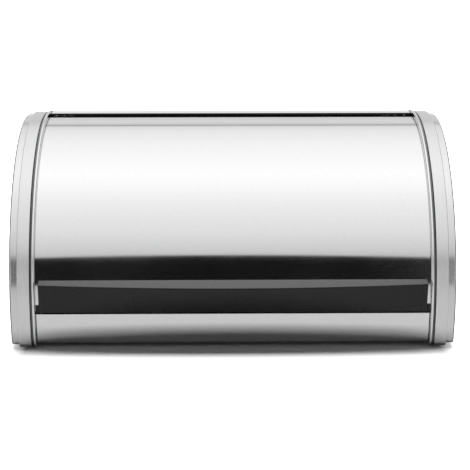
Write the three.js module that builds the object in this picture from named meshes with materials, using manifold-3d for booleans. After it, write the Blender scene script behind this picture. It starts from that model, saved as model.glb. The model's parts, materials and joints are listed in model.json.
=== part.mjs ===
// Roll-top bread box: a steel drum with a flat underside, lying on its side. A curved door turns
// about the drum's axis, up and back under the rear shell. Millimetres, +Z up, +X along the drum,
// the front faces -Y, and the origin is the middle of the footprint at the level of the feet.
import * as THREE from "three";
import * as BufferGeometryUtils from "three/addons/utils/BufferGeometryUtils.js";
import Module from "manifold-3d";

const wasm = await Module();
wasm.setup();

// ---- driving dimensions --------------------------------------------------------------------
const AXIS_HEIGHT = 41; // the door's turning axis above the table
const GAP = 0.3; // between pieces that touch
const SWING_GAP = 0.6; // between the door and what it passes

// Stations along the drum, each measured from its middle.
const COVER_OUTER = 183.5; // half of the overall width
const COVER_SKIRT = 170; // how far in the cover's skirt reaches
const COVER_WALL = 0.8;
const FRAME_OUTER = 177;
const FRAME_INNER = 166.7;
const FRAME_WALL = 1.8; // the band itself
const FRAME_WEB = 1.2;
const WEB_BORE = 104; // the frame's web is open inside this radius
const COLLAR_OUTER = 166.4;
const COLLAR_INNER = 165.3;
const RING_OUTER = 165;
const RING_INNER = 162.6;
const GROOVE_WALL = 163.8; // the side panel's face beside the door's edge
const PANEL_INNER = 157; // the wall that the bread sees
const PANEL_WALL = 2;
const SHEET_HALF = RING_INNER - GAP; // rear shell, apron and base plate end here
const DOOR_HALF = GROOVE_WALL - SWING_GAP;
const HANDLE_HALF = 159.4;
const HANDLE_CAP = 5; // width of the handle's end caps

// Radii from the door's axis.
const FRAME_RADIUS = 136.2;
const RING_RADIUS = 137.2;
const COVER_RADIUS = FRAME_RADIUS - FRAME_WALL - 0.4;
const COLLAR_RADIUS = 134.5;
const SHELL_RADIUS = 136.9;
const APRON_RADIUS = 132.5;
const DOOR_RADIUS = 132.3;
const SHEET = 0.6; // steel sheet thickness
const LINER = 0.9; // thickness of the strips behind the door
const LINER_OUTER = DOOR_RADIUS - SHEET - GAP;
const LINER_INNER = LINER_OUTER - LINER;
const TRACK_RADIUS = LINER_INNER - SWING_GAP; // the rim that the door's runners pass over
const RING_BORE = DOOR_RADIUS + SWING_GAP;

const SHELL_EDGE_RADIUS = 134.9; // the rear shell's front edge

// Rounded lower corners.
const END_ROUND = 5.5; // cap frame and guide ring
const BORE_ROUND = 2.5; // inside the guide ring
const COVER_ROUND = END_ROUND + COVER_RADIUS - FRAME_RADIUS;
const COVER_EDGE = 1.3; // rounding of the cover's outer rim
const SHEET_ROUND = 6; // rear shell and apron

// Angles about the door's axis in degrees: 0 is straight up, 90 is the front, -90 is the back.
const SHELL_DIP = -11; // from here the rear shell slopes down to its front edge
const SHELL_EDGE = -5;
const TRIM_FRONT = -4.5;
const TRIM_REAR = -8.5;
const DOOR_REAR = -8;
const DOOR_BOTTOM = 93.4;
const PROFILE_TOP = 91.1;
const PROFILE_BOTTOM = 93.9;
const APRON_TOP = 94.5;
const HANDLE_TOP = 82.1;
const HANDLE_BOTTOM = 93.5;
const OPENING = 77; // how far the door turns

// Heights above the table.
const FRAME_BOTTOM = 1;
const RING_BOTTOM = 1.8;
const RING_DEPTH = RING_RADIUS - RING_BORE; // radial depth of the guide ring
const FLANGE_BOTTOM = 3; // turned-in flanges of the rear shell and the apron
const BASE_BOTTOM = FLANGE_BOTTOM + SHEET + GAP;
const BASE_THICKNESS = 0.8;
const BASE_TOP = BASE_BOTTOM + BASE_THICKNESS;
const PANEL_BOTTOM = RING_BOTTOM + RING_DEPTH + GAP;

// Fasteners and feet.
const SHANK = 1.6;
const HOLE = SHANK + GAP;
const CAP_SCREWS = [[-72, 90], [72, 90], [-113, -16], [113, -16]]; // y and z from the axis
const HANDLE_SCREWS = [-120, -40, 40, 120]; // x
const HANDLE_SCREW_ANGLE = 87;
const BASE_SCREW_Y = 60;
const BASE_SCREW_X = 159.2;
const RIVETS = [-110, 0, 110]; // x
const FRONT_RIVET_Y = -112;
const REAR_RIVET_Y = 116;
const FOOT_X = 138;
const FOOT_Y = 82;

const MAIN_ARC_PARTS = 48;
const ROUND_PARTS = 10; // sides of a small round hole or fastener
const CORNER_PARTS = 4;
const ARC_STEP = 5;

// The handle's lip stands further out than the rings, so the axis lies behind the middle.
const LIP_MIDDLE = { radius: 150, angle: 84 };
const LIP_END = { radius: 142.5, angle: 83.6 };
const LIP_EDGE = 0.45; // angle between the lip's two corners
const frontReach = LIP_MIDDLE.radius * Math.sin(THREE.MathUtils.degToRad(LIP_MIDDLE.angle + LIP_EDGE));
const AXIS_Y = (frontReach - RING_RADIUS) / 2;

// ---- materials ------------------------------------------------------------------------------
const finish = (color, roughness, metalness) => ({ color, roughness, metalness });
const POLISHED = finish(0xd6d8da, 0.12, 1);
const SATIN = finish(0xc9cbcd, 0.32, 1);
const BLACK_PLASTIC = finish(0x1c1c1e, 0.38, 0);
const GREY_PLASTIC = finish(0x6e7073, 0.5, 0);
const RUBBER = finish(0x151515, 0.85, 0);
const ZINC = finish(0x9a9da1, 0.35, 1);

// ---- outlines, in the plane across the drum: x is the real Y and y is the real Z --------------
function polar(radius, degrees) {
  const angle = THREE.MathUtils.degToRad(degrees);
  return new THREE.Vector2(-radius * Math.sin(angle), radius * Math.cos(angle));
}

function arc(radius, from, to) {
  const parts = Math.max(1, Math.ceil(Math.abs(to - from) / ARC_STEP));
  const points = [];
  for (let i = 0; i <= parts; i++) points.push(polar(radius, from + ((to - from) * i) / parts));
  return points;
}

function band(inner, outer, from, to) {
  return [...arc(outer, from, to), ...arc(inner, to, from)];
}

function corner(center, radius, from, to) {
  const points = [];
  for (let i = 0; i <= CORNER_PARTS; i++) {
    points.push(polar(radius, from + ((to - from) * i) / CORNER_PARTS).add(center));
  }
  return points;
}

// Where a rounded corner between the drum's circle and a floor at this height has its centre.
function cornerCenter(radius, bottom, round) {
  const z = bottom + round - AXIS_HEIGHT;
  const y = Math.sqrt((radius - round) ** 2 - z ** 2);
  return { y, z, angle: THREE.MathUtils.radToDeg(Math.atan2(y, z)) };
}

// The drum's cross-section: a circle with a flat underside and rounded lower corners.
function drum(radius, bottom, round) {
  const center = cornerCenter(radius, bottom, round);
  const front = new THREE.Vector2(-center.y, center.z);
  const rear = new THREE.Vector2(center.y, center.z);
  const points = [];
  for (let i = 0; i < MAIN_ARC_PARTS; i++) {
    points.push(polar(radius, -center.angle + (2 * center.angle * i) / MAIN_ARC_PARTS));
  }
  points.push(...corner(front, round, center.angle, 180));
  points.push(...corner(rear, round, 180, 360 - center.angle).slice(0, -1));
  return points;
}

// A bent sheet: along the drum from an angle, round a corner, then a flange under the base. Its
// edge may slope down to a lip.
function bentSheet(radius, from, flangeEnd, lip = []) {
  const front = flangeEnd < 0;
  const side = front ? 1 : -1;
  const round = SHEET_ROUND;
  const center = cornerCenter(radius, FLANGE_BOTTOM, round);
  const middle = new THREE.Vector2(-side * center.y, center.z);
  const flange = FLANGE_BOTTOM - AXIS_HEIGHT;
  const outer = [
    ...lip.map(([lipRadius, angle]) => polar(lipRadius, angle)),
    ...arc(radius, from, side * center.angle),
    ...corner(middle, round, side * center.angle, side * 180).slice(1),
    new THREE.Vector2(flangeEnd, flange),
  ];
  const inner = [
    ...lip.map(([lipRadius, angle]) => polar(lipRadius - SHEET, angle)),
    ...arc(radius - SHEET, from, side * center.angle),
    ...corner(middle, round - SHEET, side * center.angle, side * 180).slice(1),
    new THREE.Vector2(flangeEnd, flange + SHEET),
  ];
  return front ? [...outer, ...inner.reverse()] : [...inner, ...outer.reverse()];
}

// ---- solids ---------------------------------------------------------------------------------
const ALONG_X = new THREE.Matrix4().makeBasis(
  new THREE.Vector3(0, 1, 0),
  new THREE.Vector3(0, 0, 1),
  new THREE.Vector3(1, 0, 0),
);

function extrude(outline, x0, x1, hole = null) {
  const shape = new THREE.Shape(outline);
  if (hole) shape.holes.push(new THREE.Path(hole));
  const geometry = new THREE.ExtrudeGeometry(shape, { depth: x1 - x0, bevelEnabled: false });
  return geometry.applyMatrix4(ALONG_X).translate(x0, 0, 0);
}

// The same piece on the right (side 1) or on the left (side -1) of the drum.
function extrudeSide(side, outline, near, far, hole = null) {
  return side > 0 ? extrude(outline, near, far, hole) : extrude(outline, -far, -near, hole);
}

// A solid through outlines with equal numbers of points, at rising x.
function loft(sections) {
  const count = sections[0].outline.length;
  const positions = sections.flatMap(({ x, outline }) => outline.flatMap((p) => [x, p.x, p.y]));
  const index = [];
  for (let s = 0; s + 1 < sections.length; s++) {
    for (let i = 0; i < count; i++) {
      const a = s * count + i;
      const b = s * count + ((i + 1) % count);
      index.push(a, b, b + count, a, b + count, a + count);
    }
  }
  const last = (sections.length - 1) * count;
  for (const [a, b, c] of THREE.ShapeUtils.triangulateShape(sections[0].outline, [])) {
    index.push(c, b, a);
  }
  for (const [a, b, c] of THREE.ShapeUtils.triangulateShape(sections.at(-1).outline, [])) {
    index.push(last + a, last + b, last + c);
  }
  const geometry = new THREE.BufferGeometry();
  geometry.setAttribute("position", new THREE.Float32BufferAttribute(positions, 3));
  geometry.setIndex(index);
  return geometry;
}

function rod(radius, start, end) {
  const direction = end.clone().sub(start);
  const geometry = new THREE.CylinderGeometry(radius, radius, direction.length(), ROUND_PARTS);
  geometry.applyQuaternion(
    new THREE.Quaternion().setFromUnitVectors(new THREE.Vector3(0, 1, 0), direction.clone().normalize()),
  );
  const middle = start.clone().add(end).multiplyScalar(0.5);
  return geometry.translate(middle.x, middle.y, middle.z);
}

function toManifold(geometry) {
  const bare = geometry.clone();
  bare.deleteAttribute("normal");
  bare.deleteAttribute("uv");
  const merged = BufferGeometryUtils.mergeVertices(bare, 1e-4);
  return new wasm.Manifold(
    new wasm.Mesh({
      numProp: 3,
      vertProperties: new Float32Array(merged.attributes.position.array),
      triVerts: new Uint32Array(merged.index.array),
    }),
  );
}

function fromManifold(manifold) {
  const mesh = manifold.getMesh();
  const geometry = new THREE.BufferGeometry();
  geometry.setAttribute("position", new THREE.BufferAttribute(mesh.vertProperties, 3));
  geometry.setIndex(new THREE.BufferAttribute(mesh.triVerts, 1));
  return geometry;
}

function join(...geometries) {
  return fromManifold(geometries.map(toManifold).reduce((a, b) => a.add(b)));
}

function cut(geometry, ...tools) {
  return fromManifold(tools.map(toManifold).reduce((a, b) => a.subtract(b), toManifold(geometry)));
}

// ---- the assembly ---------------------------------------------------------------------------
const breadBox = new THREE.Group();
const aboutAxis = new THREE.Group(); // everything below is measured from the door's axis
aboutAxis.position.set(0, AXIS_Y, AXIS_HEIGHT);
breadBox.add(aboutAxis);

function addPiece(name, geometry, look) {
  const mesh = new THREE.Mesh(geometry, new THREE.MeshStandardMaterial(look));
  mesh.name = name;
  aboutAxis.add(mesh);
  return mesh;
}

// A turned fastener: its local +Y points from under the head into the work.
function addFastener(name, profile, at, direction, look) {
  const points = profile.map(([radius, y]) => new THREE.Vector2(radius, y));
  const mesh = addPiece(name, new THREE.LatheGeometry(points, ROUND_PARTS), look);
  mesh.position.copy(at);
  mesh.quaternion.setFromUnitVectors(new THREE.Vector3(0, 1, 0), direction);
}

function screwProfile(length) {
  return [
    [0, -2],
    [1.8, -1.9],
    [2.7, -1.3],
    [3, 0],
    [SHANK, 0],
    [SHANK, length - 1],
    [0, length],
  ];
}

// Rear shell: one sheet from the top, where it dips towards the door, down the back and under the
// base.
function addRearShell() {
  const outline = bentSheet(SHELL_RADIUS, SHELL_DIP, 106, [[SHELL_EDGE_RADIUS, SHELL_EDGE]]);
  const rivetHoles = RIVETS.map((x) => rivetHole(x, REAR_RIVET_Y));
  addPiece("rear_shell", cut(extrude(outline, -SHEET_HALF, SHEET_HALF), ...rivetHoles), POLISHED);
}

// Front apron: the fixed strip below the door, with its own flange under the base.
function addFrontApron() {
  const outline = bentSheet(APRON_RADIUS, APRON_TOP, -103);
  const rivetHoles = RIVETS.map((x) => rivetHole(x, FRONT_RIVET_Y));
  addPiece("front_apron", cut(extrude(outline, -SHEET_HALF, SHEET_HALF), ...rivetHoles), POLISHED);
}

// Black moulding under the rear shell's front edge: a leg along the sheet, and a thicker front that
// closes down to the door.
function addShellEdgeTrim() {
  const inner = DOOR_RADIUS + SWING_GAP;
  const under = SHELL_EDGE_RADIUS - SHEET - GAP;
  const frontRear = SHELL_EDGE + 0.15;
  const outline = [
    polar(SHELL_EDGE_RADIUS - 0.1, frontRear),
    polar(SHELL_EDGE_RADIUS - 0.3, TRIM_FRONT),
    ...arc(inner, TRIM_FRONT, TRIM_REAR),
    ...arc(under, TRIM_REAR, frontRear),
  ];
  addPiece("shell_edge_trim", extrude(outline, -SHEET_HALF, SHEET_HALF), BLACK_PLASTIC);
}

function rivetHole(x, y) {
  const bottom = new THREE.Vector3(x, y, -AXIS_HEIGHT);
  return rod(HOLE, bottom, bottom.clone().setZ(PANEL_BOTTOM + 4 - AXIS_HEIGHT));
}

// Base plate, on the two flanges, with holes for rivets, foot stems and side screws.
function addBasePlate() {
  const front = cornerCenter(APRON_RADIUS, FLANGE_BOTTOM, SHEET_ROUND).y;
  const rear = cornerCenter(SHELL_RADIUS, FLANGE_BOTTOM, SHEET_ROUND).y;
  const plate = new THREE.BoxGeometry(2 * SHEET_HALF, front + rear, BASE_THICKNESS);
  plate.translate(0, (rear - front) / 2, (BASE_BOTTOM + BASE_TOP) / 2 - AXIS_HEIGHT);
  const holes = [];
  for (const x of RIVETS) holes.push(rivetHole(x, FRONT_RIVET_Y), rivetHole(x, REAR_RIVET_Y));
  for (const sideX of [-1, 1]) {
    for (const sideY of [-1, 1]) {
      holes.push(rivetHole(sideX * BASE_SCREW_X, sideY * BASE_SCREW_Y));
      const foot = new THREE.Vector3(sideX * FOOT_X, sideY * FOOT_Y, -AXIS_HEIGHT);
      holes.push(rod(3, foot, foot.clone().setZ(0)));
    }
  }
  addPiece("base_plate", cut(plate, ...holes), ZINC);
}

function addRivets() {
  const stack = BASE_TOP - FLANGE_BOTTOM + 2 * GAP;
  const profile = [
    [0, -1.1],
    [1.8, -0.9],
    [2.9, 0],
    [SHANK, 0],
    [SHANK, stack],
    [2.6, stack],
    [1.6, stack + 0.9],
    [0, stack + 1],
  ];
  const up = new THREE.Vector3(0, 0, 1);
  const z = FLANGE_BOTTOM - GAP - AXIS_HEIGHT;
  RIVETS.forEach((x, i) => {
    addFastener(`front_rivet_${i + 1}`, profile, new THREE.Vector3(x, FRONT_RIVET_Y, z), up, ZINC);
    addFastener(`rear_rivet_${i + 1}`, profile, new THREE.Vector3(x, REAR_RIVET_Y, z), up, ZINC);
  });
}

// Rubber feet, each pulled through the base plate by its stem.
function addFeet() {
  const under = BASE_BOTTOM - GAP;
  const profile = [
    [0, 0],
    [8.2, 0],
    [9, 0.8],
    [9, under],
    [2.7, under],
    [2.7, BASE_TOP + GAP],
    [3.6, BASE_TOP + GAP],
    [3.2, BASE_TOP + 1.4],
    [0, BASE_TOP + 1.8],
  ];
  const up = new THREE.Vector3(0, 0, 1);
  const corners = { front_left: [-1, -1], front_right: [1, -1], rear_left: [-1, 1], rear_right: [1, 1] };
  for (const [name, [sideX, sideY]] of Object.entries(corners)) {
    const at = new THREE.Vector3(sideX * FOOT_X, sideY * FOOT_Y, -AXIS_HEIGHT);
    addFastener(`foot_${name}`, profile, at, up, RUBBER);
  }
}

// Side panel: the inner wall, the rim that guides the door, and the collar between the metal rings.
function addSidePanel(name, side) {
  const rim = drum(TRACK_RADIUS, PANEL_BOTTOM, 5);
  const flange = drum(RING_BORE - GAP, PANEL_BOTTOM, BORE_ROUND - GAP);
  const collar = drum(COLLAR_RADIUS, FRAME_BOTTOM + 2.6, END_ROUND - 2);
  const pocket = drum(TRACK_RADIUS - 2.2, PANEL_BOTTOM + 2.2, 3);
  const floor = PANEL_INNER + PANEL_WALL;
  const shell = cut(
    join(
      extrudeSide(side, rim, PANEL_INNER, COLLAR_OUTER),
      extrudeSide(side, flange, GROOVE_WALL, COLLAR_OUTER),
      extrudeSide(side, collar, COLLAR_INNER, COLLAR_OUTER),
    ),
    extrudeSide(side, pocket, floor, COLLAR_OUTER + 1),
  );
  const posts = CAP_SCREWS.map(([y, z]) =>
    rod(5, new THREE.Vector3(side * (floor - 1), y, z), new THREE.Vector3(side * COLLAR_OUTER, y, z)),
  );
  const blocks = [-BASE_SCREW_Y, BASE_SCREW_Y].map((y) =>
    new THREE.BoxGeometry(6, 12, 12).translate(side * (PANEL_INNER + 3.5), y, PANEL_BOTTOM + 6.5 - AXIS_HEIGHT),
  );
  const capHoles = CAP_SCREWS.map(([y, z]) =>
    rod(HOLE, new THREE.Vector3(side * (floor + 0.6), y, z), new THREE.Vector3(side * (COLLAR_OUTER + 1), y, z)),
  );
  const baseHoles = [-BASE_SCREW_Y, BASE_SCREW_Y].map((y) => {
    const start = new THREE.Vector3(side * BASE_SCREW_X, y, -AXIS_HEIGHT);
    return rod(HOLE, start, start.clone().setZ(PANEL_BOTTOM + 10 - AXIS_HEIGHT));
  });
  addPiece(`${name}_side_panel`, cut(join(shell, ...posts, ...blocks), ...capHoles, ...baseHoles), GREY_PLASTIC);
}

// Guide ring: the bright bead that hides the door's edge, seated on the side panel's flange.
function addGuideRing(name, side) {
  const outer = drum(RING_RADIUS, RING_BOTTOM, END_ROUND);
  const bore = drum(RING_BORE, RING_BOTTOM + RING_DEPTH, BORE_ROUND);
  addPiece(`${name}_guide_ring`, extrudeSide(side, outer, RING_INNER, RING_OUTER, bore), POLISHED);
}

// Cap frame: the satin band round each end, with an open web that is screwed to the side panel.
function addCapFrame(name, side) {
  const outer = drum(FRAME_RADIUS, FRAME_BOTTOM, END_ROUND);
  const bore = drum(FRAME_RADIUS - FRAME_WALL, FRAME_BOTTOM + FRAME_WALL, END_ROUND - FRAME_WALL);
  const webBore = drum(WEB_BORE, FRAME_BOTTOM + 14, 8);
  const holes = CAP_SCREWS.map(([y, z]) =>
    rod(HOLE, new THREE.Vector3(side * (FRAME_INNER - 1), y, z), new THREE.Vector3(side * FRAME_OUTER, y, z)),
  );
  const frame = cut(
    extrudeSide(side, outer, FRAME_INNER, FRAME_OUTER),
    extrudeSide(side, bore, FRAME_INNER + FRAME_WEB, FRAME_OUTER + 1),
    extrudeSide(side, webBore, FRAME_INNER - 1, FRAME_OUTER),
    ...holes,
  );
  addPiece(`${name}_cap_frame`, frame, SATIN);
}

// Cap cover: a shallow cup whose skirt slides into the cap frame, with a rounded outer edge.
function addCapCover(name, side) {
  const bottom = FRAME_BOTTOM + FRAME_RADIUS - COVER_RADIUS;
  const section = (x, edge) => ({
    x: side * x,
    outline: drum(COVER_RADIUS - edge, bottom + edge, COVER_ROUND - edge),
  });
  const sections = [
    section(COVER_SKIRT, 0),
    section(COVER_OUTER - COVER_EDGE, 0),
    section(COVER_OUTER - 0.3 * COVER_EDGE, 0.3 * COVER_EDGE),
    section(COVER_OUTER, COVER_EDGE),
  ];
  if (side < 0) sections.reverse();
  const bore = drum(COVER_RADIUS - COVER_WALL, bottom + COVER_WALL, COVER_ROUND - COVER_WALL);
  const hollow = extrudeSide(side, bore, COVER_SKIRT - 1, COVER_OUTER - COVER_WALL);
  addPiece(`${name}_cap_cover`, cut(loft(sections), hollow), SATIN);
}

function addSideScrews(name, side) {
  const inward = new THREE.Vector3(-side, 0, 0);
  const places = ["top_front", "top_rear", "low_front", "low_rear"];
  CAP_SCREWS.forEach(([y, z], i) => {
    const at = new THREE.Vector3(side * (FRAME_INNER + FRAME_WEB + GAP), y, z);
    addFastener(`${name}_cap_screw_${places[i]}`, screwProfile(8.2), at, inward, ZINC);
  });
  const up = new THREE.Vector3(0, 0, 1);
  for (const [place, y] of [["front", -BASE_SCREW_Y], ["rear", BASE_SCREW_Y]]) {
    const at = new THREE.Vector3(side * BASE_SCREW_X, y, BASE_BOTTOM - GAP - AXIS_HEIGHT);
    addFastener(`${name}_base_screw_${place}`, screwProfile(9), at, up, ZINC);
  }
}

// Rubber blocks on the side panel's rim that end the door's travel both ways.
function addStops(name, side) {
  const closed = band(TRACK_RADIUS + GAP, APRON_RADIUS - SHEET - GAP, PROFILE_BOTTOM + 0.15, 97);
  const openAngle = DOOR_REAR - OPENING - 0.3;
  const open = band(TRACK_RADIUS + GAP, DOOR_RADIUS, openAngle - 3, openAngle);
  const near = PANEL_INNER + 1.3;
  const far = SHEET_HALF;
  addPiece(`${name}_closed_stop`, extrudeSide(side, closed, near, far), RUBBER);
  addPiece(`${name}_open_stop`, extrudeSide(side, open, near, far), RUBBER);
}

// ---- the door ---------------------------------------------------------------------------------
function radialPoint(x, radius, degrees) {
  const point = polar(radius, degrees);
  return new THREE.Vector3(x, point.x, point.y);
}

function handleScrewHole(x) {
  const start = radialPoint(x, LINER_INNER - 1, HANDLE_SCREW_ANGLE);
  return rod(HOLE, start, radialPoint(x, 138.2, HANDLE_SCREW_ANGLE));
}

function addDoorPanel() {
  const outline = band(DOOR_RADIUS - SHEET, DOOR_RADIUS, DOOR_REAR, DOOR_BOTTOM);
  const holes = HANDLE_SCREWS.map(handleScrewHole);
  addPiece("door_panel", cut(extrude(outline, -DOOR_HALF, DOOR_HALF), ...holes), POLISHED);
}

// Strips behind the door: a runner at each edge, a stiffener at the rear and one behind the handle.
function addDoorLiners() {
  const runner = band(LINER_INNER, LINER_OUTER, DOOR_REAR + 0.6, PROFILE_TOP - 0.4);
  addPiece("door_left_runner", extrudeSide(-1, runner, PANEL_INNER + 1.3, DOOR_HALF - 0.4), BLACK_PLASTIC);
  addPiece("door_right_runner", extrudeSide(1, runner, PANEL_INNER + 1.3, DOOR_HALF - 0.4), BLACK_PLASTIC);
  const rear = band(LINER_INNER, LINER_OUTER, DOOR_REAR + 0.6, DOOR_REAR + 6);
  addPiece("door_rear_stiffener", extrude(rear, -155, 155), POLISHED);
  const backing = band(LINER_INNER, LINER_OUTER, 83.5, 90.5);
  const holes = HANDLE_SCREWS.map(handleScrewHole);
  addPiece("handle_backing_plate", cut(extrude(backing, -150, 150), ...holes), ZINC);
}

// Bottom profile: a black channel over the door's lower edge, from ring to ring.
function addDoorBottomProfile() {
  const outerLeg = DOOR_RADIUS + GAP;
  const outline = [
    ...arc(outerLeg + 0.8, PROFILE_TOP, PROFILE_BOTTOM),
    ...arc(LINER_INNER + 0.1, PROFILE_BOTTOM, PROFILE_TOP),
    ...arc(LINER_OUTER, PROFILE_TOP, DOOR_BOTTOM + 0.15),
    ...arc(outerLeg, DOOR_BOTTOM + 0.15, PROFILE_TOP),
  ];
  addPiece("door_bottom_profile", extrude(outline, -SHEET_HALF, SHEET_HALF), BLACK_PLASTIC);
}

// The handle's cross-section at x: a sloping ledge, a lip that bows out, and a face falling back.
function handleSection(x, shrink = 0) {
  const bow = 1 - (x / HANDLE_HALF) ** 2;
  const lip = THREE.MathUtils.lerp(LIP_END.radius, LIP_MIDDLE.radius, bow) - shrink;
  const lipAngle = THREE.MathUtils.lerp(LIP_END.angle, LIP_MIDDLE.angle, bow);
  const seat = DOOR_RADIUS + GAP;
  const step = seat + 0.8 + GAP;
  const outline = [
    polar(seat, HANDLE_TOP),
    polar(lip, lipAngle),
    polar(lip, lipAngle + LIP_EDGE),
    polar(step + 2.2 - shrink / 2, HANDLE_BOTTOM),
    polar(step, HANDLE_BOTTOM),
    polar(step, PROFILE_TOP - 0.2),
    polar(seat, PROFILE_TOP - 0.2),
    polar(seat, 86.5),
  ];
  return { x, outline };
}

function addHandle() {
  const end = HANDLE_HALF - HANDLE_CAP - GAP;
  const parts = 16;
  const sections = [];
  for (let i = 0; i <= parts; i++) sections.push(handleSection(-end + (2 * end * i) / parts));
  addPiece("door_handle", cut(loft(sections), ...HANDLE_SCREWS.map(handleScrewHole)), BLACK_PLASTIC);
  const inner = HANDLE_HALF - HANDLE_CAP;
  const cap = [handleSection(inner), handleSection(HANDLE_HALF - 1.2), handleSection(HANDLE_HALF, 1.2)];
  addPiece("handle_right_end_cap", loft(cap), BLACK_PLASTIC);
  const mirrored = [
    handleSection(-HANDLE_HALF, 1.2),
    handleSection(-HANDLE_HALF + 1.2),
    handleSection(-inner),
  ];
  addPiece("handle_left_end_cap", loft(mirrored), BLACK_PLASTIC);
}

function addHandleScrews() {
  const outward = radialPoint(0, 1, HANDLE_SCREW_ANGLE);
  HANDLE_SCREWS.forEach((x, i) => {
    const at = radialPoint(x, LINER_INNER - GAP, HANDLE_SCREW_ANGLE);
    addFastener(`handle_screw_${i + 1}`, screwProfile(7.5), at, outward, ZINC);
  });
}

addRearShell();
addShellEdgeTrim();
addFrontApron();
addBasePlate();
addRivets();
addFeet();
for (const [name, side] of [["left", -1], ["right", 1]]) {
  addSidePanel(name, side);
  addGuideRing(name, side);
  addCapFrame(name, side);
  addCapCover(name, side);
  addSideScrews(name, side);
  addStops(name, side);
}
addDoorPanel();
addDoorLiners();
addDoorBottomProfile();
addHandle();
addHandleScrews();

export default breadBox;
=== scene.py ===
"""Roll-top bread box: fine surfaces, materials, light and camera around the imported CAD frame.

Lengths are metres and angles degrees. A place round the drum is a radius and an angle about the
door's turning axis: 0 is straight up, 90 is the front (-Y) and -90 is the back.
"""
import json
import math
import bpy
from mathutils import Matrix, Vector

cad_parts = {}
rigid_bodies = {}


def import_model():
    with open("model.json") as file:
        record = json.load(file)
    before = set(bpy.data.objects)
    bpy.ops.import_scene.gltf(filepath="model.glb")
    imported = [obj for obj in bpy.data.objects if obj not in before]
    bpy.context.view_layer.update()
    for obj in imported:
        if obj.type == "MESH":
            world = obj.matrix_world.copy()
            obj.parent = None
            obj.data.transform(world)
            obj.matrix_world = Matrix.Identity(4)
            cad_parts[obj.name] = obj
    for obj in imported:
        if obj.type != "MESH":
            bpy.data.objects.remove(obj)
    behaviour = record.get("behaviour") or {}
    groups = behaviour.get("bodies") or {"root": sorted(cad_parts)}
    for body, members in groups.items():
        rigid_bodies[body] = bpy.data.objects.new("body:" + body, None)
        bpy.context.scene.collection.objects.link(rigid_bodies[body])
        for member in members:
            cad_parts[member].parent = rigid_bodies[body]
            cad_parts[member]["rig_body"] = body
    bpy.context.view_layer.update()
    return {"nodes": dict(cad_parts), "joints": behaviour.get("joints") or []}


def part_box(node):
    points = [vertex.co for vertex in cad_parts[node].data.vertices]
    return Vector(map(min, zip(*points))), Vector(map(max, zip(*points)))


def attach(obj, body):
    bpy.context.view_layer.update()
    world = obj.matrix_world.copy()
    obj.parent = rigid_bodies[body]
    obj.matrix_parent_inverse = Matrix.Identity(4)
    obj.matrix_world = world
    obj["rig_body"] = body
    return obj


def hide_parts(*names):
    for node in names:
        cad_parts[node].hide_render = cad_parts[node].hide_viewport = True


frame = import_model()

from types import SimpleNamespace

import bmesh
import bpy
from mathutils import Vector

MM = 0.001
AXIS = Vector(frame["joints"][0]["pos_m"])
UP = Vector((0, 0, 1))
SIDES = (("left", -1), ("right", 1))

# ---- what the frame says ---------------------------------------------------------------------


def span(node):
    """How far a CAD node reaches: along X, in height, and in radius and angle about the axis."""
    low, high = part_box(node)
    corners = [v.co - AXIS for v in frame["nodes"][node].data.vertices]
    radii = [math.hypot(c.y, c.z) for c in corners]
    angles = [math.degrees(math.atan2(-c.y, c.z)) for c in corners]
    return SimpleNamespace(
        low=low,
        high=high,
        near=min(abs(low.x), abs(high.x)),
        far=max(abs(low.x), abs(high.x)),
        inner=min(radii),
        outer=max(radii),
        start=min(angles),
        end=max(angles),
        top=high.z - AXIS.z,
        bottom=low.z,
    )


COVER = span("right_cap_cover")
FRAME = span("right_cap_frame")
RING = span("right_guide_ring")
PANEL = span("right_side_panel")
SHELL = span("rear_shell")
APRON = span("front_apron")
BASE = span("base_plate")
TRIM = span("shell_edge_trim")
DOOR = span("door_panel")
RUNNER = span("door_right_runner")
STIFFENER = span("door_rear_stiffener")
BACKING = span("handle_backing_plate")
PROFILE = span("door_bottom_profile")
END_CAP = span("handle_right_end_cap")

# ---- sizes that the frame's boxes don't give ---------------------------------------------------
SHEET = 0.6 * MM  # steel sheet
STRIP = 0.9 * MM  # the strips behind the door
GAP = 0.3 * MM  # between pieces that touch
SWING_GAP = 0.6 * MM  # between the door and what it passes
END_ROUND = 5.5 * MM  # lower corners of the cap frame and the guide ring
TIGHT = 0.4 * MM  # the least radius of a lower corner
SHEET_ROUND = 6 * MM  # lower corners of the rear shell and the apron
SHELL_DIP = -11  # from this angle the rear shell slopes down to its front edge
SHELL_EDGE = (134.9 * MM, -5)  # radius and angle of that edge
SHELL_FLANGE = AXIS.y + 106 * MM  # where its flange under the base plate ends
APRON_TOP = 94.5  # angle of the apron's upper edge
APRON_FLANGE = AXIS.y - 103 * MM  # where its flange under the base plate ends
BEADS = (-76, -38, 0, 38, 76)  # the base plate's beads, in mm behind the axis
BEAD_REACH = 112 * MM  # half their straight length
BEAD_HALF = 5 * MM  # half their width
BEAD_HEIGHT = 1.1 * MM
FRAME_WALL = 1.8 * MM  # thickness of the satin band
FRAME_WEB = 1.2 * MM  # and of its web
FRAME_EDGE = 0.8 * MM  # rounding of the band's edges
WEB_BORE = (104 * MM, 14 * MM, 8 * MM)  # radius, height over the band's bottom, corner
COVER_WALL = 0.8 * MM
RIM_ROUND = 1.3 * MM  # outer edge of the cap cover
RIM_FLAT = 3.8 * MM  # the cover's face is flat this far in from its outline
FACE_STEP = 0.4 * MM  # how deep it is pressed in behind that
FACE_RAMP = (0.4 * MM, 1.8 * MM)  # and where that step begins and ends, in from RIM_FLAT
GROOVE_WALL = 163.8 * MM  # the side panel's face beside the door's edge
COLLAR = (165.3 * MM, 134.5 * MM, 3.5 * MM)  # where it starts, its radius and its corner
COLLAR_LIP = 2.2 * MM  # how far its rim reaches inside the track
PANEL_FLOOR = 2 * MM  # thickness of the side panel's wall
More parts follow.
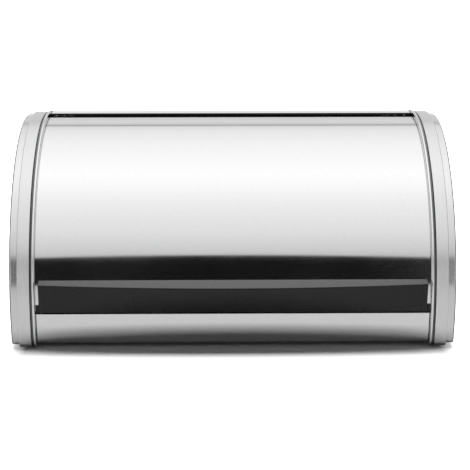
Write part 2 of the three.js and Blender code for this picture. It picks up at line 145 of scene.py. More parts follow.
# The panel pressed into its inner face, in mm: depth, distance inside the track, lower corner.
PANEL_RECESS = ((0.7, 14, 5), (0.7, 12.5, 6), (0, 11, 6), (0, 9, 6))
FLANGE_ROUND = 2.2 * MM  # lower corners of the flange that carries the guide ring
TRACK_ROUND = 5 * MM  # and of the door's track
LIP_MIDDLE = (150 * MM, 83.85)  # the handle's lip in the middle: radius and angle
LIP_END = (141.5 * MM, 83.2)  # and at its ends
LIP_EDGE = 0.45  # angle between the lip's two corners
HANDLE_TOP = 82.1  # angles where the handle meets the door
HANDLE_BOTTOM = 93.5
HANDLE_STEP = 86.5  # inside it, where it steps out over the door's edge profile
HANDLE_SCREWS = 87  # the angle that its screws point along
PLUG_ROUND = 1.2 * MM  # outer edge of the handle's end caps
BEVEL = 0.18 * MM  # on the edges of cut sheet
HOLD = 0.2 * MM  # an extra loop this near a rounded edge keeps the flat beside it flat
ARC_STEP = 1.2  # degrees between stations round the drum
DRUM_STEPS = 236  # round a whole end
CORNER_STEPS = 10
TURN_STEPS = 48  # round a small turned piece

# ---- screws, rivets and feet -------------------------------------------------------------------
HEAD_RADIUS = 3 * MM
HEAD_HEIGHT = 2 * MM
HEAD_ROUND = 0.8 * MM
HEAD_CROWN = 0.1 * MM  # how far its middle stands above its rounded edge
THREAD_ROOT = 1.25 * MM
THREAD_CREST = 1.6 * MM
THREAD_TURNS = 8
RECESS = (1.75 * MM, 1.1 * MM)  # reach and depth of the cross
RECESS_ARM = 0.28 * MM  # half the width of its arms
RECESS_WALL = 0.16 * MM  # how far their walls slope

# The rivets and the feet are turned. Their outlines are (radius, height) steps in mm.
RIVET_HEAD = (2.9, 1.1)
RIVET_SHANK = 1.6
RIVET_CLENCH = ((1.6, 1.0), (2.5, 0.9), (2.1, 0.3), (0.7, 0), (0.02, 0.2))  # down from its end
FOOT_SOLE = ((0.05, 0.5), (3, 0.5), (3.4, 0), (5, 0), (5.3, 0.5), (5.9, 0.5), (6.2, 0), (7.9, 0))
FOOT_SIDE = ((8.6, 0.25), (9, 0.9), (8.8, 3.2), (8.3, 3.8), (2.7, 3.8))
FOOT_STEM = ((2.7, 5.4), (3.5, 5.5), (3.4, 6.1), (2, 6.7), (0.05, 6.9))

# ---- outlines ----------------------------------------------------------------------------------


def place(x, radius, degrees):
    """The point at x, at a radius and an angle about the door's axis."""
    angle = math.radians(degrees)
    return Vector((x, AXIS.y - radius * math.sin(angle), AXIS.z + radius * math.cos(angle)))


def direction(degrees):
    """The way out of the drum at an angle about the door's axis."""
    angle = math.radians(degrees)
    return Vector((0, -math.sin(angle), math.cos(angle)))


def steps(start, end, count):
    """Even steps from start to end, both included."""
    return [start + (end - start) * i / count for i in range(count + 1)]


def arc_path(radius, start, end):
    """Stations round the drum, each a point and the way out of the sheet there."""
    count = max(2, math.ceil(abs(end - start) / ARC_STEP))
    return [(place(0, radius, a), direction(a)) for a in steps(start, end, count)]


def corner_centre(radius, bottom, corner):
    """Where a lower corner of the drum's outline has its centre, and the angle it starts at."""
    height = bottom + corner - AXIS.z
    reach = math.sqrt((radius - corner) ** 2 - height**2)
    return reach, height, math.degrees(math.atan2(reach, height))


def sheet_path(radius, bottom, corner, start, side, flange_end):
    """Stations from an angle down one side of the drum, round its corner and along its flange."""
    reach, height, turn = corner_centre(radius, bottom, corner)
    centre = Vector((0, AXIS.y - side * reach, AXIS.z + height))
    path = arc_path(radius, start, side * turn)
    for a in steps(side * turn, side * 180, CORNER_STEPS)[1:]:
        path.append((centre + corner * direction(a), direction(a)))
    path.append((Vector((0, flange_end, bottom)), Vector((0, 0, -1))))
    return path


def drum_loop(x, radius, bottom, corner):
    """The drum's outline at x: a circle with a flat underside and rounded lower corners."""
    reach, height, turn = corner_centre(radius, bottom, corner)
    loop = [place(x, radius, a) for a in steps(-turn, turn, DRUM_STEPS)]
    front = Vector((x, AXIS.y - reach, AXIS.z + height))
    rear = Vector((x, AXIS.y + reach, AXIS.z + height))
    loop += [front + corner * direction(a) for a in steps(turn, 180, CORNER_STEPS)[1:]]
    loop += [rear + corner * direction(a) for a in steps(180, 360 - turn, CORNER_STEPS)[:-1]]
    return loop


def rounded(outline, radii, count=5):
    """A closed outline of (across, up) points with each corner rounded by its own radius."""
    points = []
    for i, corner in enumerate(outline):
        if not radii[i]:
            points.append(corner)
            continue
        before = (outline[i - 1] - corner).normalized()
        after = (outline[(i + 1) % len(outline)] - corner).normalized()
        half = before.angle(after) / 2
        reach = radii[i] / math.tan(half)
        a = corner + before * reach
        b = corner + after * reach
        for t in steps(0, 1, count):
            points.append(a * (1 - t) ** 2 + corner * 2 * t * (1 - t) + b * t**2)
    return points


# ---- meshes ------------------------------------------------------------------------------------


def new_piece(name, vertices, faces, smooth=35, bevel=BEVEL):
    """An object from vertices and faces, facing outwards, with its hard edges softened."""
    mesh = bpy.data.meshes.new(name)
    mesh.from_pydata(vertices, [], faces)
    solid = bmesh.new()
    solid.from_mesh(mesh)
    bmesh.ops.remove_doubles(solid, verts=solid.verts, dist=1e-7)
    bmesh.ops.recalc_face_normals(solid, faces=solid.faces)
    solid.to_mesh(mesh)
    solid.free()
    for face in mesh.polygons:
        face.use_smooth = True
    mesh.set_sharp_from_angle(angle=math.radians(smooth))
    piece = bpy.data.objects.new(name, mesh)
    bpy.context.scene.collection.objects.link(piece)
    if bevel:
        edge = piece.modifiers.new("soft_edges", "BEVEL")
        edge.width = bevel
        edge.segments = 2
        edge.limit_method = "ANGLE"
        edge.angle_limit = math.radians(40)
        edge.harden_normals = True
    return piece


def loft(name, loops, ring=False, **look):
    """Quads between loops of equal count. The ends are filled, or meet if the piece is a ring."""
    count = len(loops[0])
    vertices = [point for loop in loops for point in loop]
    faces = []
    for i in range(len(loops) if ring else len(loops) - 1):
        this = i * count
        following = (i + 1) % len(loops) * count
        for j in range(count):
            k = (j + 1) % count
            faces.append((this + j, this + k, following + k, following + j))
    if not ring:
        faces.append(tuple(range(count)))
        faces.append(tuple(range((len(loops) - 1) * count, len(loops) * count)))
    return new_piece(name, vertices, faces, **look)


def ribbon(name, path, low_x, high_x, thickness, **look):
    """A sheet of even thickness along a path, with its outer face on the path."""
    loops = []
    for point, out in path:
        inside = point - out * thickness
        loops.append(
            [
                Vector((low_x, point.y, point.z)),
                Vector((high_x, point.y, point.z)),
                Vector((high_x, inside.y, inside.z)),
                Vector((low_x, inside.y, inside.z)),
            ]
        )
    return loft(name, loops, **look)


def extrude(name, outline, low_x, high_x, **look):
    """A closed outline of points in the plane across the drum, drawn out along X."""
    loops = [[Vector((x, p.y, p.z)) for p in outline] for x in (low_x, high_x)]
    return loft(name, loops, **look)


def turned(name, profile, at, way, **look):
    """A turned piece: (radius, depth) steps from the middle of its head, along way."""
    side = way.orthogonal().normalized()
    other = way.cross(side)
    loops = []
    for radius, depth in profile:
        ring = []
        for a in steps(0, 2 * math.pi, TURN_STEPS)[:-1]:
            ring.append(at + way * depth + radius * (side * math.cos(a) + other * math.sin(a)))
        loops.append(ring)
    return loft(name, loops, bevel=0, **look)


# ---- materials ---------------------------------------------------------------------------------
NOISE_RANGE = (0.3, 0.7)  # nearly all of a noise texture's values


def new_material(name, color, metallic, specular=0.5):
    """A material and a maker of its nodes. What is even all over the surface sits on the shader."""
    material = bpy.data.materials.new(name)
    material.use_nodes = True
    tree = material.node_tree
    shader = tree.nodes["Principled BSDF"]
    shader.inputs["Base Color"].default_value = (*color, 1)
    shader.inputs["Metallic"].default_value = metallic
    shader.inputs["Specular IOR Level"].default_value = specular
    return material, tree, shader


def math_node(tree, operation, *values):
    """A maths node's result. Each value is a socket or a number."""
    node = tree.nodes.new("ShaderNodeMath")
    node.operation = operation
    for socket, value in zip(node.inputs, values):
        if hasattr(value, "links"):
            tree.links.new(value, socket)
        else:
            socket.default_value = value
    return node.outputs["Value"]


def ranged(tree, value, low, high, to_low=0.0, to_high=1.0):
    """A value drawn from one range to another, and held at that range's ends."""
    node = tree.nodes.new("ShaderNodeMapRange")
    node.inputs["From Min"].default_value = low
    node.inputs["From Max"].default_value = high
    node.inputs["To Min"].default_value = to_low
    node.inputs["To Max"].default_value = to_high
    tree.links.new(value, node.inputs["Value"])
    return node.outputs["Result"]


def mixed(tree, factor, first, second):
    """first and second, each a socket or a number, mixed by a factor."""
    part = math_node(tree, "MULTIPLY", factor, second)
    rest = math_node(tree, "MULTIPLY", math_node(tree, "SUBTRACT", 1.0, factor), first)
    return math_node(tree, "ADD", part, rest)


def scaled_place(tree, scale):
    """The surface point in metres, stretched by a scale on each axis."""
    coordinates = tree.nodes.new("ShaderNodeTexCoord")
    mapping = tree.nodes.new("ShaderNodeMapping")
    mapping.inputs["Scale"].default_value = scale
    tree.links.new(coordinates.outputs["Object"], mapping.inputs["Vector"])
    return mapping.outputs["Vector"]


def round_place(tree, scale):
    """The surface point as (x, turn about the drum's axis, radius), stretched by a scale."""
    coordinates = tree.nodes.new("ShaderNodeTexCoord")
    centred = tree.nodes.new("ShaderNodeVectorMath")
    centred.operation = "SUBTRACT"
    centred.inputs[1].default_value = AXIS
    parts = tree.nodes.new("ShaderNodeSeparateXYZ")
    joined = tree.nodes.new("ShaderNodeCombineXYZ")
    stretched = tree.nodes.new("ShaderNodeVectorMath")
    stretched.operation = "MULTIPLY"
    stretched.inputs[1].default_value = scale
    tree.links.new(coordinates.outputs["Object"], centred.inputs[0])
    tree.links.new(centred.outputs["Vector"], parts.inputs["Vector"])
    turn = math_node(tree, "ARCTAN2", parts.outputs["Y"], parts.outputs["Z"])
    tree.links.new(parts.outputs["X"], joined.inputs["X"])
    tree.links.new(turn, joined.inputs["Y"])
    tree.links.new(joined.outputs["Vector"], stretched.inputs[0])
    return stretched.outputs["Vector"]


def noise(tree, vector, scale, detail=3, roughness=0.55):
    """Fractal noise at a place, from about 0.3 to 0.7."""
    texture = tree.nodes.new("ShaderNodeTexNoise")
    texture.inputs["Scale"].default_value = scale
    texture.inputs["Detail"].default_value = detail
    texture.inputs["Roughness"].default_value = roughness
    tree.links.new(vector, texture.inputs["Vector"])
    return texture.outputs["Fac"]


def spread(tree, value, low, high):
    """A noise value's useful middle range, drawn out from low to high."""
    return ranged(tree, value, *NOISE_RANGE, low, high)


def shades(tree, value, dark, light):
    """A colour between two greys, by a value."""
    ramp = tree.nodes.new("ShaderNodeValToRGB")
    for stop, position, color in zip(ramp.color_ramp.elements, NOISE_RANGE, (dark, light)):
        stop.position = position
        stop.color = (*color, 1)
    tree.links.new(value, ramp.inputs["Fac"])
    return ramp.outputs["Color"]


def bump(tree, height, distance, strength=1.0, under=None):
    """A normal tilted by a height, on top of another bump if there is one under it."""
    node = tree.nodes.new("ShaderNodeBump")
    node.inputs["Distance"].default_value = distance
    node.inputs["Strength"].default_value = strength
    tree.links.new(height, node.inputs["Height"])
    if under is not None:
        tree.links.new(under, node.inputs["Normal"])
    return node.outputs["Normal"]


def polished_steel():
    """Bright stainless sheet: nearly a mirror, with a fine grain and a slight waviness."""
    material, tree, shader = new_material("polished_steel", (0.62, 0.62, 0.625), 1)
    grain = noise(tree, scaled_place(tree, (300, 2500, 2500)), 1, 2)
    cloud = noise(tree, scaled_place(tree, (1, 1, 1)), 14, 3)
    tree.links.new(spread(tree, cloud, 0.075, 0.1), shader.inputs["Roughness"])
    wavy = bump(tree, noise(tree, scaled_place(tree, (1, 1, 1)), 9, 1), 0.02 * MM)
    tree.links.new(bump(tree, grain, 0.002 * MM, 0.6, wavy), shader.inputs["Normal"])
    tone = shades(tree, grain, (0.605, 0.605, 0.61), (0.635, 0.635, 0.64))
    tree.links.new(tone, shader.inputs["Base Color"])
    return material


def satin_steel(name, stretch, rough, bright, depth):
    """Stainless sheet brushed round the drum: stretch says how far it blurs reflections along X."""
    material, tree, shader = new_material(name, (bright,) * 3, 1)
    shader.inputs["Anisotropic"].default_value = stretch
    shader.inputs["Anisotropic Rotation"].default_value = 0.25
    tangent = tree.nodes.new("ShaderNodeTangent")
    tangent.direction_type = "RADIAL"
    tangent.axis = "X"
    tree.links.new(tangent.outputs["Tangent"], shader.inputs["Tangent"])
    fine = noise(tree, round_place(tree, (5200, 16, 1)), 1, 3, 0.65)
    broad = noise(tree, round_place(tree, (1400, 5, 1)), 1, 2)
    lines = mixed(tree, 0.4, fine, broad)
    tree.links.new(spread(tree, lines, 0.85 * rough, 1.15 * rough), shader.inputs["Roughness"])
    tree.links.new(bump(tree, lines, depth, 0.5), shader.inputs["Normal"])
    dark, light = [(tone * bright,) * 3 for tone in (0.9, 1.1)]
    tree.links.new(shades(tree, lines, dark, light), shader.inputs["Base Color"])
    return material


def brushed_face():
    """The cap's flat face: the same steel with its brush lines standing upright."""
    material, tree, shader = new_material("satin_steel_face", (0.62, 0.62, 0.625), 1)
    lines = noise(tree, scaled_place(tree, (40, 4200, 26)), 1, 3, 0.65)
    tree.links.new(spread(tree, lines, 0.27, 0.4), shader.inputs["Roughness"])
    tree.links.new(bump(tree, lines, 0.015 * MM, 0.5), shader.inputs["Normal"])
    tone = shades(tree, lines, (0.55, 0.55, 0.555), (0.66, 0.66, 0.665))
    tree.links.new(tone, shader.inputs["Base Color"])
    return material


def burnished_rim_painted_shade():
    """The cover's drawn edge: burnished, with painted shade that darkens its colour where it turns
    away from the camera.
    """
    material, tree, shader = new_material("burnished_steel_painted_shade", (0.5, 0.5, 0.505), 1)
    marks = noise(tree, scaled_place(tree, (300, 300, 300)), 1, 3, 0.6)
    tree.links.new(spread(tree, marks, 0.08, 0.14), shader.inputs["Roughness"])
    # Painted shade: the rim's colour falls from 0.5 to 0.04 as the surface turns away from the
    # camera, which draws a dark outline.
    turned = tree.nodes.new("ShaderNodeLayerWeight")
    turned.inputs["Blend"].default_value = 0.5
    tone = ranged(tree, turned.outputs["Facing"], 0.03, 0.12, 0.5, 0.04)
    tree.links.new(tone, shader.inputs["Base Color"])
    return material


def zinc_steel():
    """Zinc-plated sheet: dull and cloudy, with a faint spangle."""
    material, tree, shader = new_material("zinc_steel", (0.45, 0.46, 0.47), 1)
    spangle = tree.nodes.new("ShaderNodeTexVoronoi")
    spangle.inputs["Scale"].default_value = 160
    tree.links.new(scaled_place(tree, (1, 1, 1)), spangle.inputs["Vector"])
    cloud = noise(tree, scaled_place(tree, (1, 1, 1)), 45, 4)
    tree.links.new(spread(tree, cloud, 0.3, 0.5), shader.inputs["Roughness"])
    tone = shades(tree, spangle.outputs["Distance"], (0.46, 0.47, 0.48), (0.38, 0.39, 0.4))
    tree.links.new(tone, shader.inputs["Base Color"])
    tree.links.new(bump(tree, cloud, 0.02 * MM, 0.4), shader.inputs["Normal"])
    return material


def moulded(name, dark, light, rough, grain, depth, specular=0.5, painted_sheen=0.0):
    """Moulded plastic or rubber: a fine grain, uneven shade, and a painted sheen that lightens
    faces that look up.
    """
    material, tree, shader = new_material(name, light, 0, specular)
    surface = noise(tree, scaled_place(tree, (1, 1, 1)), grain, 3)
    cloud = noise(tree, scaled_place(tree, (1, 1, 1)), 30, 3)
    geometry = tree.nodes.new("ShaderNodeNewGeometry")
    parts = tree.nodes.new("ShaderNodeSeparateXYZ")
    tree.links.new(geometry.outputs["Normal"], parts.inputs["Vector"])
    # Painted sheen: the colour is mixed towards white on faces that look up. It stands in for the
    # light they catch.
    painted_sheen_amount = ranged(tree, parts.outputs["Z"], 0.6, 0.95, 0.0, painted_sheen)
    painted_sheen_mix = tree.nodes.new("ShaderNodeMix")
    painted_sheen_mix.data_type = "RGBA"
    factor, first, second = (painted_sheen_mix.inputs[i] for i in (0, 6, 7))  # the sockets in use for colours
    second.default_value = (1, 1, 1, 1)
    tree.links.new(painted_sheen_amount, factor)
    tree.links.new(shades(tree, cloud, dark, light), first)
    tree.links.new(painted_sheen_mix.outputs[2], shader.inputs["Base Color"])
    tree.links.new(spread(tree, cloud, rough - 0.04, rough + 0.04), shader.inputs["Roughness"])
    tree.links.new(bump(tree, surface, depth, 0.5), shader.inputs["Normal"])
    return material


INK = ((0.007, 0.007, 0.0075), (0.011, 0.011, 0.0115))
ASH = ((0.15, 0.155, 0.16), (0.18, 0.185, 0.19))
SOOT = ((0.012, 0.012, 0.012), (0.02, 0.02, 0.02))
MATERIALS = {
    "polished_steel": polished_steel(),
    "satin_steel": satin_steel("satin_steel", 1, 0.4, 0.69, 0.012 * MM),
    "zinc_steel": zinc_steel(),
    # The black plastic's last number, 0.06, is its painted sheen: a lighter colour on faces that
    # look up.
    "black_plastic": moulded("black_plastic", *INK, 0.3, 2600, 0.01 * MM, 0.25, 0.06),
    "grey_plastic": moulded("grey_plastic", *ASH, 0.48, 1800, 0.03 * MM),
    "rubber": moulded("rubber", *SOOT, 0.72, 1500, 0.03 * MM, 0.3),
}
SKIRT = satin_steel("satin_steel_skirt", 0.4, 0.18, 0.56, 0.002 * MM)
RIM_PAINTED_SHADE = burnished_rim_painted_shade()
FACE = brushed_face()


def stand_in(piece, node, slot):
    """The piece is shown for a CAD node, on that node's body, with its slot's material."""
    piece.data.materials.append(MATERIALS[slot])
    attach(piece, frame["nodes"][node]["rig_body"])
    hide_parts(node)
    return piece


# ---- housing: steel sheets and trim ------------------------------------------------------------


def build_rear_shell():
    """The sheet dips to its front edge in one flat slope, with a tight bend where that begins."""
    edge = place(0, *SHELL_EDGE)
    bend = place(0, SHELL.outer, SHELL_DIP)
    run = (bend - edge).normalized()
    out = Vector((0, -run.z, run.y))
    path = [(edge, out), (edge.lerp(bend, 0.03), out), (edge.lerp(bend, 0.94), out)]
    path += sheet_path(SHELL.outer, SHELL.bottom, SHEET_ROUND, SHELL_DIP - 0.5, -1, SHELL_FLANGE)
    sheet = ribbon("rear_shell_sheet", path, SHELL.low.x, SHELL.high.x, SHEET)
    stand_in(sheet, "rear_shell", "polished_steel")


def build_front_apron():
    """The fixed strip under the door, turned in below the base plate."""
    path = sheet_path(APRON.outer, APRON.bottom, SHEET_ROUND, APRON_TOP, 1, APRON_FLANGE)
    sheet = ribbon("front_apron_sheet", path, APRON.low.x, APRON.high.x, SHEET)
    stand_in(sheet, "front_apron", "polished_steel")


def build_trim():
    """Black moulding under the rear shell's front edge: a leg, and a thicker front."""
    radius, angle = SHELL_EDGE
    front_rear = angle + 0.15
    under = radius - SHEET - GAP
    outline = [place(0, radius - 0.1 * MM, front_rear), place(0, radius - 0.3 * MM, TRIM.end)]
    outline += [place(0, TRIM.inner, a) for a in steps(TRIM.end, TRIM.start, 8)]
    outline += [place(0, under, a) for a in steps(TRIM.start, front_rear, 8)]
    trim = extrude("shell_edge_strip", outline, TRIM.low.x, TRIM.high.x)
    stand_in(trim, "shell_edge_trim", "black_plastic")


def build_base_plate():
    """The floor of the box: a plate with pressed stiffening beads that run along the drum."""
    thickness = BASE.high.z - BASE.low.z
    xs = steps(BASE.low.x, BASE.high.x, 130)
    ys = steps(BASE.low.y, BASE.high.y, 180)

    def bead(x, y):
        height = 0
        for middle in BEADS:
            across = abs(y - AXIS.y - middle * MM) / BEAD_HALF
            along = max(0, abs(x) - BEAD_REACH) / BEAD_HALF
            away = math.hypot(across, along)
            height = max(height, 0.5 + 0.5 * math.cos(math.pi * min(1, away)))
        return height * BEAD_HEIGHT

    rows = len(ys)
    vertices = [Vector((x, y, BASE.low.z + bead(x, y))) for x in xs for y in ys]
    vertices += [v + Vector((0, 0, thickness)) for v in vertices]
    upper = len(xs) * rows
    faces = []
    for i in range(len(xs) - 1):
        for j in range(rows - 1):
            a = i * rows + j
            quad = (a, a + 1, a + rows + 1, a + rows)
            faces.append(quad)
            faces.append(tuple(upper + k for k in quad))
    edge = [i * rows for i in range(len(xs))]
    edge += [(len(xs) - 1) * rows + j for j in range(1, rows)]
    edge += [i * rows + rows - 1 for i in range(len(xs) - 2, -1, -1)]
    edge += [j for j in range(rows - 2, 0, -1)]
    for a, b in zip(edge, edge[1:] + edge[:1]):
        faces.append((a, b, upper + b, upper + a))
    stand_in(new_piece("base_floor", vertices, faces, bevel=0), "base_plate", "zinc_steel")


# ---- housing: the two ends ---------------------------------------------------------------------


def drum_loops(side, measures):
    """Outlines of the drum from (x, radius, bottom, corner) rows, on one side of the box."""
    return [drum_loop(side * x, radius, bottom, corner) for x, radius, bottom, corner in measures]


def inset(span_, corner, rows):
    """(x, depth) rows as drum measures: each lies that deep inside a span's own outline."""
    return [(x, span_.top - d, span_.bottom + d, max(corner - d, TIGHT)) for x, d in rows]


def quarter(x, way, radius, count=6):
    """(x, depth) rows round an edge, from its side face out to its rim if way is 1."""
    rows = []
    for a in steps(0, math.pi / 2, count):
        rows.append((x + way * radius * (1 - math.cos(a)), radius * (1 - math.sin(a))))
    return rows


def build_guide_ring(name, side):
    """The bright bead beside the door: half round outside, square where it is seated."""
    middle = (RING.near + RING.far) / 2
    half = (RING.far - RING.near) / 2
    depth = RING.top - (DOOR.outer + SWING_GAP)
    rows = [(RING.near, depth)]
    for a in steps(0, math.pi, 16):
        rows.append((middle - half * math.cos(a), half * (1 - math.sin(a))))
    rows.append((RING.far, depth))
    loops = drum_loops(side, inset(RING, END_ROUND, rows))
    bead = loft(f"{name}_ring_bead", loops, ring=True, bevel=0)
    stand_in(bead, f"{name}_guide_ring", "polished_steel")


def build_cap_frame(name, side):
    """The satin band round the end, with its open web behind the cover."""
    outside = quarter(FRAME.near, 1, FRAME_EDGE)
    outside += [(FRAME.near + FRAME_EDGE + HOLD, 0), (FRAME.far - FRAME_EDGE - HOLD, 0)]
    outside += quarter(FRAME.far, -1, FRAME_EDGE)[::-1]
    inside = [(FRAME.far, FRAME_WALL), (FRAME.near + FRAME_WEB, FRAME_WALL)]
    bore, height, corner = WEB_BORE
    measures = inset(FRAME, END_ROUND, outside + inside)
    for x in (FRAME.near + FRAME_WEB, FRAME.near):
        measures.append((x, bore, FRAME.bottom + height, corner))
    loops = drum_loops(side, measures)
    band = loft(f"{name}_cap_band", loops, ring=True, bevel=0)
    stand_in(band, f"{name}_cap_frame", "satin_steel")
    band.data.materials.append(SKIRT)
    for face in band.data.polygons:
        face.material_index = 1 if abs(face.normal.x) > 0.2 else 0


def build_cap_cover(name, side):
    """A shallow cup: skirt, rounded edge, and a face with a pressed step inside its rim."""
    corner = END_ROUND - (FRAME.top - COVER.top)
    wall = COVER_WALL
    skirt = [(COVER.far - 2 * RIM_ROUND, wall), (COVER.near, wall), (COVER.near, 0)]
    skirt += [(COVER.near + HOLD, 0), (COVER.far - RIM_ROUND - HOLD, 0)]
    bend = 2 * wall
    inner = [(COVER.far - wall, wall + bend), (COVER.far - wall - bend, wall)]
    edge = quarter(COVER.far, -1, RIM_ROUND, 10)[::-1]
    face = [(COVER.far, RIM_ROUND + HOLD), (COVER.far, RIM_FLAT)]
    for t, run in zip(steps(0, 1, 8), steps(*FACE_RAMP, 8)):
        press = FACE_STEP * (0.5 - 0.5 * math.cos(math.pi * t))
        face.append((COVER.far - press, RIM_FLAT + run))
    face.append((COVER.far - FACE_STEP, RIM_FLAT + 2.4 * MM))
    rows = inner + skirt + edge + face
    loops = drum_loops(side, inset(COVER, corner, rows))
    cover = loft(f"{name}_cap_cup", loops, bevel=0)
    stand_in(cover, f"{name}_cap_cover", "satin_steel")
    for material in (FACE, RIM_PAINTED_SHADE, SKIRT):
        cover.data.materials.append(material)
    for face in cover.data.polygons:
        turn = abs(face.normal.x)
        face.material_index = 1 if turn > 0.98 else 2 if turn > 0.25 else 3


def build_side_panel(name, side):
    """The moulded end wall: a face with a shallow panel, the door's track and two flanges."""
    track = RUNNER.inner - SWING_GAP
    floor = PANEL.near + PANEL_FLOOR
    bottom = RING.bottom + (RING.top - DOOR.outer - SWING_GAP) + GAP
    flange = DOOR.outer + SWING_GAP - GAP
    near = PANEL.near
    collar, collar_radius, collar_corner = COLLAR

    def rim(x, d):
        return (x, track - d, bottom + d, TRACK_ROUND - d)

    measures = []
    for deep, inside, corner in PANEL_RECESS:
        d = inside * MM
        measures.append((near + deep * MM, track - d, bottom + d, corner * MM))
    measures += [rim(near, 1.6 * MM)]
    measures += [rim(x, d) for x, d in quarter(near, 1, 1.2 * MM)]
    measures += [rim(GROOVE_WALL, 0)]
    measures += [(x, flange, bottom, FLANGE_ROUND) for x in (GROOVE_WALL, collar - 0.4 * MM)]
    measures += [(x, collar_radius, PANEL.bottom, collar_corner) for x in (collar, PANEL.far)]
    measures += [rim(PANEL.far, COLLAR_LIP), rim(floor, COLLAR_LIP)]
    measures += [(floor, track - 3 * MM, bottom + 3 * MM, 2.6 * MM)]
    wall = loft(f"{name}_end_wall", drum_loops(side, measures), bevel=0)
    stand_in(wall, f"{name}_side_panel", "grey_plastic")


def build_stops(name, side):
    """Rubber blocks on the track that end the door's travel both ways."""
    for kind in ("closed", "open"):
        node = f"{name}_{kind}_stop"
        stop = span(node)
        path = arc_path(stop.outer, stop.start, stop.end)
        thickness = stop.outer - stop.inner
        block = ribbon(f"{node}_block", path, stop.low.x, stop.high.x, thickness, bevel=0.5 * MM)
        stand_in(block, node, "rubber")


# ---- fasteners and feet ------------------------------------------------------------------------


def cross_recess(piece, at, way, reach, depth):
    """Presses a tapering cross into a turned head, from its middle out to reach."""
    side = way.orthogonal().normalized()
    other = way.cross(side)
    for vertex in piece.data.vertices:
        offset = vertex.co - at
        u = abs(offset.dot(side))
        v = abs(offset.dot(other))
        if offset.dot(way) > 0 or max(u, v) > reach:
            continue
        wall = max(0.0, 1 - max(0.0, min(u, v) - RECESS_ARM) / RECESS_WALL)
        vertex.co += way * depth * wall * (1 - max(u, v) / reach * 0.6)


def screw(node, way, length):
    """A pan-head screw with a cross recess, its head facing against way."""
    low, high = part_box(node)
    at = (low + high) / 2 + way * (HEAD_HEIGHT - length) / 2
    flat = HEAD_RADIUS - HEAD_ROUND
    profile = []
    for r in steps(0.02 * MM, flat, 20):
        profile.append((r, HEAD_CROWN * (r / flat) ** 2 - HEAD_HEIGHT))
    for a in steps(0, math.pi / 2, 6)[1:]:
        fall = HEAD_CROWN + MM * (1 - math.cos(a))
        profile.append((flat + HEAD_ROUND * math.sin(a), fall - HEAD_HEIGHT))
    profile += [(HEAD_RADIUS, 0), (THREAD_CREST, 0)]
    for t in steps(0, THREAD_TURNS, THREAD_TURNS * 4):
        rise = 0.5 - 0.5 * math.cos(2 * math.pi * t)
        radius = THREAD_ROOT + (THREAD_CREST - THREAD_ROOT) * rise
        profile.append((radius, 0.5 * MM + (length - 1.7 * MM) * t / THREAD_TURNS))
    profile.append((0.05 * MM, length))
    piece = turned(f"{node}_fine", profile, at, way)
    cross_recess(piece, at, way, *RECESS)
    stand_in(piece, node, "zinc_steel")


def build_side_screws(name, side):
    """Four screws through a cap frame into the side panel, and two up into that from below."""
    for place_name in ("top_front", "top_rear", "low_front", "low_rear"):
        screw(f"{name}_cap_screw_{place_name}", Vector((-side, 0, 0)), 8.2 * MM)
    for end in ("front", "rear"):
        screw(f"{name}_base_screw_{end}", UP, 9 * MM)


def foot_point(node):
    """The middle of a CAD node's underside."""
    low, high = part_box(node)
    return Vector(((low.x + high.x) / 2, (low.y + high.y) / 2, low.z))


def build_rivets():
    """Rivets with a domed head below and a clenched end above the base plate."""
    radius, dome = RIVET_HEAD
    head = [(radius * math.sin(a), dome * (1 - math.cos(a))) for a in steps(0.02, math.pi / 2, 8)]
    head.append((RIVET_SHANK, dome + 0.05))
    for row in ("front", "rear"):
        for number in (1, 2, 3):
            node = f"{row}_rivet_{number}"
            low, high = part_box(node)
            height = (high.z - low.z) / MM
            rows = head + [(r, height - drop) for r, drop in RIVET_CLENCH]
            profile = [(r * MM, z * MM) for r, z in rows]
            piece = turned(f"{node}_fine", profile, foot_point(node), UP)
            stand_in(piece, node, "zinc_steel")


def build_feet():
    """Rubber feet: a grooved sole, a waist and a stem with a bulb above the base plate."""
    profile = [(r * MM, z * MM) for r, z in FOOT_SOLE + FOOT_SIDE + FOOT_STEM]
    for corner in ("front_left", "front_right", "rear_left", "rear_right"):
        node = f"foot_{corner}"
        stand_in(turned(f"{node}_fine", profile, foot_point(node), UP), node, "rubber")


# ---- the door ----------------------------------------------------------------------------------


def build_door_sheets():
    """The door's skin, and the strips behind it that run round the drum."""
    path = arc_path(DOOR.outer, DOOR.start, DOOR.end)
    skin = ribbon("door_skin", path, DOOR.low.x, DOOR.high.x, SHEET)
    stand_in(skin, "door_panel", "polished_steel")
    for node, measure, slot in (
        ("door_left_runner", RUNNER, "black_plastic"),
        ("door_right_runner", RUNNER, "black_plastic"),
        ("door_rear_stiffener", STIFFENER, "polished_steel"),
        ("handle_backing_plate", BACKING, "zinc_steel"),
    ):
        low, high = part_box(node)
        path = arc_path(measure.outer, measure.start, measure.end)
        stand_in(ribbon(f"{node}_strip", path, low.x, high.x, STRIP), node, slot)


def build_door_bottom():
    """The black channel over the door's lower edge."""
    leg = DOOR.outer + GAP
    slot_end = DOOR.end + 0.15
    outline = [place(0, PROFILE.outer, a) for a in steps(PROFILE.start, PROFILE.end, 4)]
    outline += [place(0, PROFILE.inner, a) for a in steps(PROFILE.end, PROFILE.start, 4)]
    outline += [place(0, DOOR.outer - SHEET - GAP, a) for a in steps(PROFILE.start, slot_end, 3)]
    outline += [place(0, leg, a) for a in steps(slot_end, PROFILE.start, 3)]
    channel = extrude("door_bottom_channel", outline, PROFILE.low.x, PROFILE.high.x)
    stand_in(channel, "door_bottom_profile", "black_plastic")


